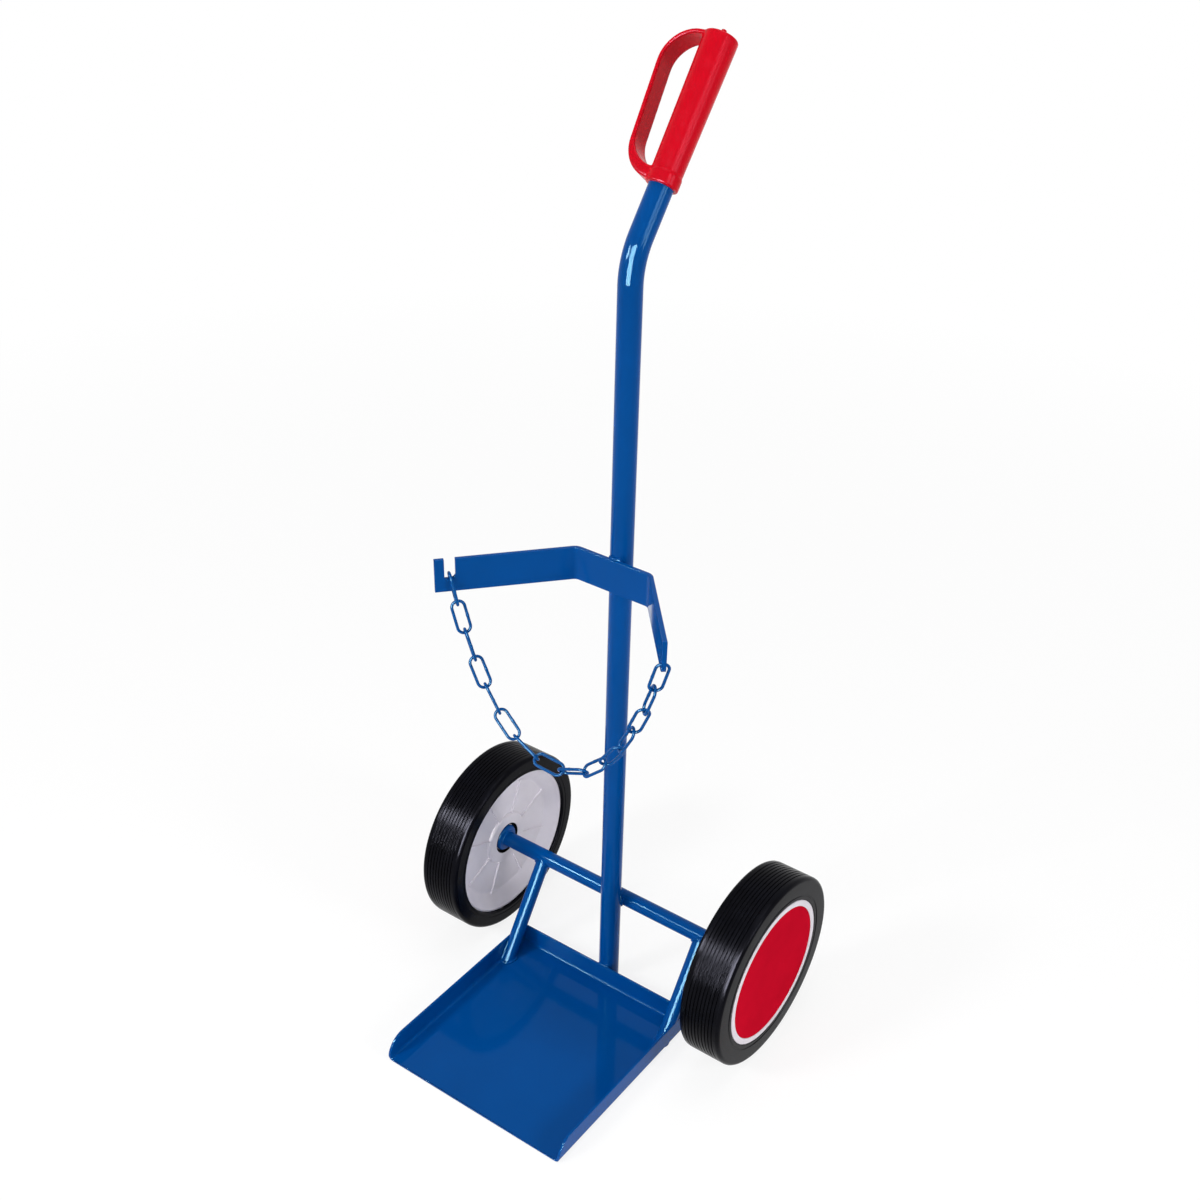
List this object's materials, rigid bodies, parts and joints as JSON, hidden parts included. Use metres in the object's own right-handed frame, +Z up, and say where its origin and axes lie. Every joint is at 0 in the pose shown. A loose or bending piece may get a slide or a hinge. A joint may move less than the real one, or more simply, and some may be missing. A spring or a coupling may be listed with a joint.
{
  "type": "gas cylinder cart",
  "caption": "Upright two-wheeled cart for a gas cylinder: bent tube with a hooped grip, folded toe plate, splayed flat-bar cradle and a hanging safety chain.",
  "frame": {"origin": "centre of the toe plate's underside, on the ground", "axes": "+X to the right of someone looking at the front of the cart, along the axle; +Y to the back, where the handle leans; +Z up"},
  "size_m": [0.456, 0.436, 1.1556],
  "materials": {
    "blue_paint": "gloss",
    "blue_chain": "gloss",
    "red_grip": "gloss",
    "red_cap": "satin",
    "black_rubber": "satin",
    "grey_plastic": "satin",
    "zinc_steel": "satin",
    "nylon": "matte"
  },
  "bodies": {
    "cart_frame": {"spine_tube": "blue_paint", "toe_plate": "blue_paint", "axle_bar": "blue_paint", "left_strut": "blue_paint", "right_strut": "blue_paint", "cylinder_bracket": "blue_paint", "left_stop_ring": "blue_paint", "right_stop_ring": "blue_paint", "handle_grip": "red_grip", "left_washer": "zinc_steel", "right_washer": "zinc_steel", "left_split_pin": "zinc_steel", "right_split_pin": "zinc_steel"},
    "left_wheel": {"left_tyre": "black_rubber", "left_rim": "grey_plastic", "left_bush": "nylon", "left_hub_cap": "red_cap"},
    "right_wheel": {"right_tyre": "black_rubber", "right_rim": "grey_plastic", "right_bush": "nylon", "right_hub_cap": "red_cap"},
    "chain_ends": {"chain_link_01": "blue_chain", "chain_link_15": "blue_chain"},
    "chain_run": {"chain_link_02": "blue_chain", "chain_link_03": "blue_chain", "chain_link_04": "blue_chain", "chain_link_05": "blue_chain", "chain_link_06": "blue_chain", "chain_link_07": "blue_chain", "chain_link_08": "blue_chain", "chain_link_09": "blue_chain", "chain_link_10": "blue_chain", "chain_link_11": "blue_chain", "chain_link_12": "blue_chain", "chain_link_13": "blue_chain", "chain_link_14": "blue_chain"}
  },
  "joints": [
    {"name": "left_wheel_spin", "type": "hinge", "parent": "cart_frame", "child": "left_wheel", "pos_m": [-0.2, 0.17, 0.125], "axis": [1, 0, 0], "continuous": true},
    {"name": "right_wheel_spin", "type": "hinge", "parent": "cart_frame", "child": "right_wheel", "pos_m": [0.2, 0.17, 0.125], "axis": [1, 0, 0], "continuous": true},
    {"name": "chain_end_swing", "type": "hinge", "parent": "cart_frame", "child": "chain_ends", "pos_m": [-0.14301, 0.0264, 0.61614], "axis": [0.9979, 0.0453, -0.0465], "range_deg": [-5, 5]},
    {"name": "chain_swing", "type": "hinge", "parent": "chain_ends", "child": "chain_run", "pos_m": [-0.13406, 0.0268, 0.58334], "axis": [0.9978, 0.0453, -0.0493], "range_deg": [-28, 27]}
  ]
}
